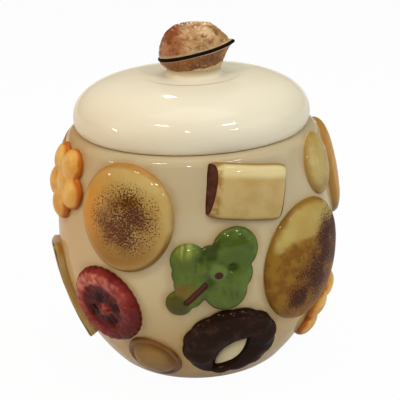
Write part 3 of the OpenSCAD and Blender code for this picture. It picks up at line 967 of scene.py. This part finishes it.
def pot_paint(g, axes, soft):
    # Just under the lid the cream is darker: painted shade. The same colour also lies in soft
    # clouds below.
    g.base = under_lid_shade_and_cloud
    g.over(pot_mid, g.ramp(axes["Z"], 165 * MM, 90 * MM))
    # Darker and browner towards the foot: painted shade.
    g.over(painted_foot_shade, g.ramp(axes["Z"], 100 * MM, 15 * MM))
    g.over(under_lid_shade_and_cloud, g.ramp(soft, 0.35, 0.75, 0, 0.3))
    near = g.ramp(g.attribute("near_biscuit"), 0.2, 1.0)
    g.over(stain_tan, near, g.mottle(45, 0.35, 0.7, 0.05, 0.5))
    # Warmer on the left side: painted warm light.
    g.over(painted_warm_light_left, g.ramp(axes["X"], -50 * MM, -100 * MM, 0, 0.6))


def lid_paint(g, axes, soft):
    g.base = cream_pale
    g.over(cream_warm, g.ramp(soft, 0.3, 0.7, 0, 0.45))
    # Tan on the neck, under the walnut: painted shade.
    g.over(painted_neck_shade, g.ramp(axes["Z"], lid_top_z + MM, neck_z - MM, 0, 0.85))


for piece, name, paint in [(pot, "Cream glaze on the pot", pot_paint),
                           (lid, "Cream glaze on the lid", lid_paint)]:
    cream = Glaze(name, coat=0.45, coat_roughness=0.06)
    paint(cream, cream.add("SeparateXYZ", Vector=cream.map).outputs, cream.cloud(11, 4))
    cream.finish((cream.cloud(28, 2), 0.1, 0.004), (cream.cloud(400, 2), 0.04, 0.0005))
    piece.data.materials.append(cream.block)

# %% Bare clay on the foot ring
clay = Glaze("Bare clay", roughness=0.85, coat=0.0)
grit = clay.cloud(900, 4)
clay.base = clay.blend(grit, (196, 176, 145), (222, 208, 182))
clay.finish((grit, 0.4, 0.0004))
pot.data.materials.append(clay.block)
for face in pot.data.polygons:
    if face.center.z < 0.7 * MM and face.normal.z < -0.6:
        face.material_index = 1

# %% [markdown]
# ### Biscuit glazes
# Every biscuit has a darker, browner edge where the glaze ran off it, and
# fades into the cream just above the pot. Its own pattern goes on top.

# %% A biscuit's glaze, and where a colour lies on it
class BiscuitGlaze(Glaze):
    """Places and lengths on the flat map are in millimetres."""

    def __init__(self, name, pale, mid, edge, paint=None, edge_at=(0.25, 0.62), coat=0.33,
                 grain=3.2):
        super().__init__(name, flat=True, coat=coat)
        self.base = pale
        self.over(mid, self.mottle(grain, 0.35, 0.65, detail=4))
        self.over(edge, self.ramp(self.wandering(self.lift, 0.12), edge_at[1], edge_at[0]))
        if paint:
            paint(self)
        self.over(pot_mid, self.ramp(self.lift, 0.12, 0.0, 0, 0.7))
        self.finish((self.cloud(9, 2), 0.1, 0.002))

    def spot(self, x, y, inner, outer):
        """1 inside a round spot, 0 outside it."""
        away = self.add("VectorMath", {"operation": "DISTANCE"}, Vector=self.map)
        away.inputs[1].default_value = (0.5 + x * flat_mm, 0.5 + y * flat_mm, 0)
        return self.ramp(away.outputs["Value"], outer * flat_mm, inner * flat_mm)

    def across(self, x, y, start, stop):
        """0 up to start and 1 from stop on, along a direction."""
        length = math.hypot(x, y)
        along = self.add("VectorMath", {"operation": "DOT_PRODUCT"}, Vector=self.map)
        along.inputs[1].default_value = (x / length, y / length, 0)
        middle = 0.5 * (x + y) / length
        return self.ramp(along.outputs["Value"], middle + start * flat_mm, middle + stop * flat_mm)

    def wandering(self, value, amount, scale=7):
        return self.calc("ADD", value, self.mottle(scale, 0.2, 0.8, -amount, amount))


# %% [markdown]
# ### Speckles
# The maker dabbed dark brown on with a sponge: dense and brown in the middle
# of the zone, single dots at its rim, over a brown haze.

# %% Speckled glazes
def dabbed(g, zone, dark, haze, grain=82, dense=0.2):
    g.over(haze, zone, g.mottle(9, 0.3, 0.65, 0.25, 0.9))
    sponge = g.calc("MULTIPLY", zone, g.mottle(6, 0.25, 0.65, 0.3, 1), dense)
    dots = g.calc("ADD", sponge, g.cloud(grain, 2.5, 0.65))
    g.over(dark, g.ramp(dots, 0.58, 0.65), g.ramp(zone, 0, 0.12))


def speckled_paint(g):
    top, edge = g.ramp(g.lift, 0.45, 0.7), g.ramp(g.lift, 0.6, 0.45)
    g.over((202, 140, 56), top, g.across(-1, -0.2, -4, 24))
    g.over((152, 108, 44), top, g.across(0, -1, 2, 30))
    upper_left = g.calc("MAXIMUM", g.across(-0.1, 1, 16, 30), g.across(-1, 0, 20, 32))
    g.over((166, 112, 42), edge, upper_left, 0.7)
    g.over((134, 98, 42), edge, g.across(0.2, -1, 8, 24))
    dabbed(g, g.spot(3, 0, 10, 29), (82, 42, 12), (118, 76, 32))
    g.over((102, 48, 22), g.spot(-4, -8, 3, 10), g.mottle(40, 0.4, 0.6))


def large_paint(g):
    brushed = g.ramp(g.wandering(g.across(0.12, -1, -60, 40), 0.05, 9), 0.27, 0.36)
    g.over(g.blend(g.mottle(12, 0.4, 0.6, detail=4), (146, 106, 34), (126, 82, 22)), brushed)
    g.over((128, 88, 30), g.across(0.1, -1, 0, 40), g.mottle(5, 0.35, 0.65, 0.2, 0.9))
    zone = g.calc("MAXIMUM", g.spot(22, 10, 9, 31), g.spot(2, -8, 5, 30), g.spot(-14, -20, 2, 18))
    dabbed(g, zone, (64, 28, 6), (108, 64, 18), 84, 0.26)
    g.over((82, 46, 22), g.spot(28, 4, 4, 16), g.mottle(30, 0.4, 0.6, 0, 0.7))


speckled = BiscuitGlaze("Speckled biscuit", (196, 170, 106), (182, 148, 80), (170, 138, 78),
                        speckled_paint)
large_speckled = BiscuitGlaze("Large speckled biscuit", (188, 166, 98), (176, 148, 78),
                              (140, 104, 38), large_paint, coat=0.2)

# %% [markdown]
# ### Nuts, roll, wafer and almond
# The nuts are darker on their lower side. The roll is palest on its upper
# side, which is a painted highlight, and brown round its ends, and the wafer has
# a brown line along its rim.

# %% Oval nuts
def kernel_paint(g):
    g.over((152, 118, 58), g.spot(5, 6, 3, 15), g.ramp(g.lift, 0.35, 0.5))
    g.over((116, 74, 18), g.ramp(g.lift, 0.27, 0.21), g.spot(0, 0, 17, 18.5), 0.6)
    g.over((108, 66, 24), g.across(0.5, -1, 8, 22))


def pillow_paint(g):
    g.over((204, 186, 126), g.mottle(18, 0.5, 0.75, 0, 0.5, detail=2))
    g.over((150, 112, 46), g.across(0, -1, 4, 20), g.mottle(12, 0.3, 0.6, 0.3, 1))
    g.over((160, 122, 54), g.ramp(g.lift, 0.42, 0.2, 0, 0.7))


kernel_glaze = BiscuitGlaze("Oval nut", (144, 110, 48), (126, 92, 36), (128, 84, 30),
                            kernel_paint, edge_at=(0.22, 0.42))
pillow_glaze = BiscuitGlaze("Plain oval nut", (188, 166, 102), (170, 144, 78), (168, 138, 72),
                            pillow_paint, edge_at=(0.1, 0.4))


# %% Fruit roll
def roll_paint(g):
    # The palest band along the upper side is a painted highlight.
    g.over((218, 200, 146), g.across(0, 1, 7, 12))
    g.over((146, 116, 58), g.ramp(g.lift, 0.66, 0.5), g.across(0, 1, 4, 12))
    g.over((116, 88, 44), g.ramp(g.lift, 0.4, 0.25), g.across(0, -1, 8, 14))
    g.over((146, 106, 40), g.across(-1, 0, 17, 21), g.mottle(22, 0.4, 0.6, 0.2, 0.8))
    lower = g.calc("SUBTRACT", 1.0, g.across(0, 1, 7, 12))
    g.over((70, 40, 22), g.across(1, 0, 24.6, 25.6), lower)


roll_glaze = BiscuitGlaze("Fruit roll", (194, 168, 110), (184, 155, 94), (170, 140, 80),
                          roll_paint, edge_at=(0.12, 0.4), grain=7)
filling = Glaze("Dark filling")
goo = filling.cloud(260)
filling.base = filling.blend(filling.ramp(goo, 0.35, 0.7), (48, 18, 12), (80, 36, 22))
filling.finish((goo, 0.3, 0.001))


# %% Wafer and almond
def wafer_paint(g):
    sides = [g.across(*side) for side in [(1, 0, 21, 23.5), (0, 1, 34, 36.5),
                                          (-1, 0, 21, 23.5), (0, -1, 34, 36.5)]]
    g.over((112, 92, 54), g.calc("MAXIMUM", *sides), g.ramp(g.lift, 0.52, 0.6))
    g.over((178, 122, 40), g.across(0, 1, 24, 34), g.ramp(g.lift, 0.5, 0.3))
    g.over((150, 100, 40), g.ramp(g.lift, 0.16, 0.06))


wafer_glaze = BiscuitGlaze("Wafer", (194, 166, 108), (178, 144, 84), (178, 142, 80),
                           wafer_paint, edge_at=(0.05, 0.2))
almond_glaze = BiscuitGlaze("Almond", (214, 200, 162), (206, 190, 150), (186, 166, 126),
                            edge_at=(0.1, 0.42))

# %% [markdown]
# ### Green, crimson, chocolate and orange
# Brushed leaf greens with pale yellow-green tops, which are painted highlights,
# dark creases, which are painted shade, and vertical strokes. The crimson is pale
# on the crest of its rim, at the upper left partly as a painted highlight, and
# nearly black in its hollows.

# %% Green clover with its red dot and slit
slit_dots = 9


def clover_paint(g):
    stretched = g.add("VectorMath", {"operation": "MULTIPLY"}, Vector=g.map)
    stretched.inputs[1].default_value = (1, 0.18, 1)
    strokes = g.cloud(34, 2, vector=stretched.outputs[0])
    leaves = g.calc("MAXIMUM", g.spot(-17, 5, 8, 14), g.spot(7, -18, 8, 16))
    g.over((88, 102, 36), leaves, g.ramp(strokes, 0.4, 0.62, 0, 0.85))
    # Darker inside the top right leaf, where it is dished: painted shade.
    g.over((78, 98, 34), g.spot(14, 7, 8, 13.5))
    # Pale yellow-green on the left leaf's top and beside the middle: painted highlights.
    g.over((144, 154, 74), g.spot(-19, 16, 1, 9), g.ramp(strokes, 0.35, 0.6, 0.3, 1))
    g.over((104, 120, 50), g.spot(-9, 2, 1, 5), 0.5)
    g.over((112, 92, 30), g.spot(-20, -15, 5, 12), g.mottle(12, 0.35, 0.6, 0.2, 1))
    g.over((78, 72, 18), g.spot(-26, -24, 5, 10))
    # Dark green in the creases round the middle: painted shade.
    g.over((54, 68, 18), g.ramp(g.lift, 0.58, 0.42), g.spot(2, 3, 15, 21))
    g.over((98, 118, 58), g.spot(1, 0, 4.5, 7), g.ramp(g.lift, 0.45, 0.6))
    g.over((64, 24, 16), g.spot(1.6, -2.2, 2.2, 3.3))
    for paint, inner, outer in [((52, 38, 14), 1.9, 2.7), ((96, 36, 28), 1.0, 1.6)]:
        for i in range(slit_dots):
            place = Vector(slit_start).lerp(Vector(slit_end), i / (slit_dots - 1))
            g.over(paint, g.spot(place.x, place.y, inner, outer))


green = BiscuitGlaze("Green clover", (92, 112, 42), (70, 86, 27), (64, 66, 20),
                     clover_paint, edge_at=(0.06, 0.36), grain=8)


# %% Crimson
def crimson_paint(g):
    # Pale pink on the crest of the rim, most at the upper left: partly pale glaze, partly a painted
    # highlight.
    pale_crest_and_highlight = g.calc("MULTIPLY", g.ramp(g.lift, 0.6, 0.74), g.across(-0.5, 1, -4, 26))
    g.over((214, 136, 116), pale_crest_and_highlight, g.mottle(20, 0.4, 0.62, 0.2, 0.9))
    g.over((178, 88, 78), g.ramp(g.lift, 0.5, 0.7), g.mottle(26, 0.5, 0.68))
    g.over((92, 26, 18), g.across(1, -1, 2, 26))
    g.over((92, 22, 12), g.spot(0, 0, 18, 23), g.ramp(g.lift, 0.7, 0.56))
    g.over((44, 10, 6), g.spot(-1, -2, 13, 17), g.ramp(g.lift, 0.52, 0.36))
    g.over((168, 74, 58), g.spot(2, -2, 3, 7), g.mottle(30, 0.4, 0.6))


crimson = BiscuitGlaze("Crimson biscuit", (142, 50, 42), (116, 34, 29), (98, 27, 21),
                       crimson_paint, edge_at=(0.1, 0.5), coat=0.25, grain=9)


# %% Chocolate and orange
def chocolate_paint(g):
    # Reddish over the upper part: partly thin glaze over the lumps, partly a painted sheen.
    g.over((78, 50, 38), g.mottle(11, 0.52, 0.74, 0, 0.8), g.across(-0.3, 1, -5, 20))


def orange_paint(g):
    g.over((226, 188, 112), g.ramp(g.lift, 0.45, 0.8), g.mottle(7, 0.42, 0.58, 0.1, 0.85))
    g.over((186, 98, 20), g.ramp(g.wandering(g.lift, 0.15, 6), 0.58, 0.36))
    g.over((150, 80, 18), g.ramp(g.lift, 0.3, 0.1))


chocolate = BiscuitGlaze("Chocolate", (44, 25, 16), (36, 20, 12), (34, 19, 12),
                         chocolate_paint, edge_at=(0.05, 0.2), coat=0.12)
orange = BiscuitGlaze("Orange blossom", (222, 168, 84), (210, 150, 64), (196, 116, 34),
                      orange_paint, edge_at=(0.05, 0.5), grain=8)

# %% [markdown]
# ### Walnut glaze
# Orange-brown at the blunt end, paler over the crown, dark in the wrinkles,
# and a black seam with pale lines along it. The brown was brushed on down to
# an uneven line, and the cream of the neck shows under it at the right.

# %% Walnut glaze
def paint_walnut(g):
    axes, height = g.add("SeparateXYZ", Vector=g.map).outputs, g.attribute("up_share")
    g.base = (222, 186, 138)
    g.over((170, 120, 66), g.mottle(100, 0.38, 0.66, detail=4))
    g.over((146, 72, 18), g.ramp(axes["X"], 4 * MM, -10 * MM), g.mottle(60, 0.3, 0.6, 0.55, 1))
    g.over((172, 126, 66), g.ramp(axes["X"], 12 * MM, 20 * MM), g.mottle(80, 0.35, 0.6, 0.3, 1))
    g.over((102, 62, 28), g.mottle(170, 0.52, 0.66, detail=4),
           g.ramp(height, -0.05, 0.3, 0.3, 0.75))
    shell = g.blend(g.mottle(90, 0.38, 0.62, detail=4), (142, 92, 40), (108, 64, 24))
    g.over(shell, g.ramp(height, -0.05, -0.09))
    for way in (1, -1):
        g.over((196, 168, 128), g.ramp(height, way * 0.05, way * 0.07),
               g.ramp(height, way * 0.13, way * 0.08), 0.75)
    seam = g.calc("MULTIPLY", g.ramp(height, -0.064, -0.056), g.ramp(height, 0.064, 0.056))
    g.over((20, 13, 9), seam)
    g.plug(g.ramp(seam, 0, 1, 0.8, 0.08), g.shader["Coat Weight"])
    rising = g.calc("ADD", axes["Z"], g.calc("MULTIPLY", axes["X"], -0.15))
    uneven = g.calc("ADD", rising, g.mottle(120, 0.3, 0.7, -0.8 * MM, 0.8 * MM, detail=2))
    g.over((196, 172, 128), g.ramp(uneven, neck_z - 0.2 * MM, neck_z - MM))
    g.finish((g.cloud(300, 2), 0.8, 0.003))


walnut_glaze = Glaze("Walnut", coat=0.8, coat_roughness=0.04)
paint_walnut(walnut_glaze)
walnut.data.materials.append(walnut_glaze.block)
print("glazes:", len(bpy.data.materials), "materials")

# %% Put the glazes on
glazes = [
    ("speckled_biscuit_", speckled, "speckled_glaze"), ("large_", large_speckled, "speckled_glaze"),
    ("oval_nut_low", kernel_glaze, "nut_glaze"), ("oval_nut_back_low", kernel_glaze, "nut_glaze"),
    ("oval_nut_high", pillow_glaze, "nut_glaze"), ("oval_nut_back_high", pillow_glaze, "nut_glaze"),
    ("fruit_", roll_glaze, "roll_glaze"), ("clover_", green, "green_glaze"),
    ("crimson_", crimson, "crimson_glaze"), ("chocolate_", chocolate, "chocolate_glaze"),
    ("almond_", almond_glaze, "almond_glaze"), ("orange_", orange, "orange_glaze"),
    ("wafer_", wafer_glaze, "wafer_glaze"),
]
for node, piece in pieces.items():
    for start, glaze, slot in glazes:
        if node.startswith(start):
            piece.data.materials.append(glaze.block)
    if piece.name in fillings:
        piece.data.materials.append(filling.block)
        for index in fillings[piece.name]:
            piece.data.polygons[index].material_index = 1
    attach(piece, "jar")
    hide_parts(node)

# %% [markdown]
# ## Bodies
# The pot and its biscuits are one body. The lid and the walnut lift together.

# %% Ride and replace
for piece, node, body, slot in [
    (pot, "jar", "jar", "cream_glaze"), (lid, "lid", "lid", "cream_glaze"),
    (walnut, "walnut_knob", "lid", "walnut_glaze"),
]:
    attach(piece, body)
    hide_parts(node)
    print(piece.name, "rides on", body)

# %% [markdown]
# ## Camera, floor and light
# The camera stands where the photograph was taken from, a little above the
# jar. A pale floor runs out of view. One broad lamp overhead, a warm one on
# the left and a cool one on the right light the jar as a room does. The small
# bright lamps make the glints, and hang where the photograph's glints point.
# One more stands behind the jar, for its hidden side.

# %% Camera
elevation, roll, distance = math.radians(20.186), math.radians(2.12), 778 * MM
aim = Vector((0, 0, 120 * MM))
film, photo, focal, middle_x, middle_y = 36, 400, 1016.06, 194.488, 196.511
bpy.ops.object.camera_add()
camera = bpy.context.active_object
turn = Matrix.Rotation(math.pi / 2 - elevation, 4, "X") @ Matrix.Rotation(-roll, 4, "Z")
back = Vector((0, -math.cos(elevation), math.sin(elevation))) * distance
camera.matrix_world = Matrix.Translation(aim + back) @ turn
camera.data.sensor_width = film
camera.data.lens = film * focal / photo
camera.data.shift_x = (photo / 2 - middle_x) / photo
camera.data.shift_y = (middle_y - photo / 2) / photo
bpy.context.scene.camera = camera

# %% Floor
choose()
bpy.ops.mesh.primitive_plane_add(size=60)
floor = named("floor")
apply_place(floor)
white = Nodes(bpy.data.materials.new("White floor"))
shader = white.tree.nodes["Principled BSDF"]
shader.inputs["Base Color"].default_value = (0.8, 0.8, 0.8, 1)
shader.inputs["Roughness"].default_value = 0.9
shader.inputs["Specular IOR Level"].default_value = 0.0
rays = white.add("LightPath").outputs
seen = white.calc("MAXIMUM", rays["Is Camera Ray"], rays["Is Glossy Ray"],
                  rays["Is Transmission Ray"])
glow = white.add("Emission", Color=(1, 1, 1, 1), Strength=1.0)
mixer = white.add("MixShader")
parts = (white.calc("MULTIPLY", seen, 0.97), shader.outputs[0], glow.outputs[0])
for value, socket in zip(parts, mixer.inputs):
    white.plug(value, socket)
white.plug(mixer.outputs[0], white.tree.nodes["Material Output"].inputs["Surface"])
floor.data.materials.append(white.block)

# %% Lamps
def lamp(name, place, size, power, tint=(1, 1, 1), long=1):
    """An area lamp that looks at the jar, long times as wide as it is high."""
    bpy.ops.object.light_add(type="AREA", location=place)
    light = bpy.context.active_object
    light.name = name
    light.data.shape = "RECTANGLE"
    light.data.size = size * long
    light.data.size_y = size
    light.data.energy = power
    light.data.color = tint
    light.rotation_euler = (aim - Vector(place)).to_track_quat("-Z", "Y").to_euler()


lamp("top_light", (0.05, 0.05, 1.5), 0.9, 4.6)
lamp("left_light", (-1.3, -0.35, 0.6), 1.0, 3.9, (1, 0.64, 0.34))
lamp("right_light", (1.3, -0.4, 0.75), 1.0, 4.2, (0.92, 0.98, 1))
lamp("left_spot", (-0.466, -0.563, 1.195), 0.08, 3, (1, 0.93, 0.8), 3)
lamp("right_spot", (0.6, -0.6, 1.15), 0.08, 3, (1, 0.98, 0.93), 3)
lamp("front_spot", (-0.08, -1.03, 0.94), 0.08, 1.4)
lamp("low_spot", (0.75, -0.83, 0.78), 0.05, 0.9, (1, 0.98, 0.95), 3)
lamp("side_spot", (-1.0, -0.25, 0.5), 0.08, 0.9, (1, 0.9, 0.75))
lamp("back_spot", (-0.03, 0.95, 0.9), 0.08, 2, (1, 0.98, 0.95), 2)

# %% Sky: brighter overhead than at the horizon
sky = Nodes(bpy.data.worlds.new("Studio"))
bpy.context.scene.world = sky.block
direction = sky.add("TexCoord").outputs["Generated"]
upward = sky.add("SeparateXYZ", Vector=direction).outputs["Z"]
background = sky.tree.nodes["Background"]
background.inputs["Color"].default_value = (1, 0.97, 0.93, 1)
sky.plug(sky.ramp(upward, 0.0, 0.9, 0.08, 0.35), background.inputs["Strength"])
bpy.context.scene.view_settings.view_transform = "Standard"
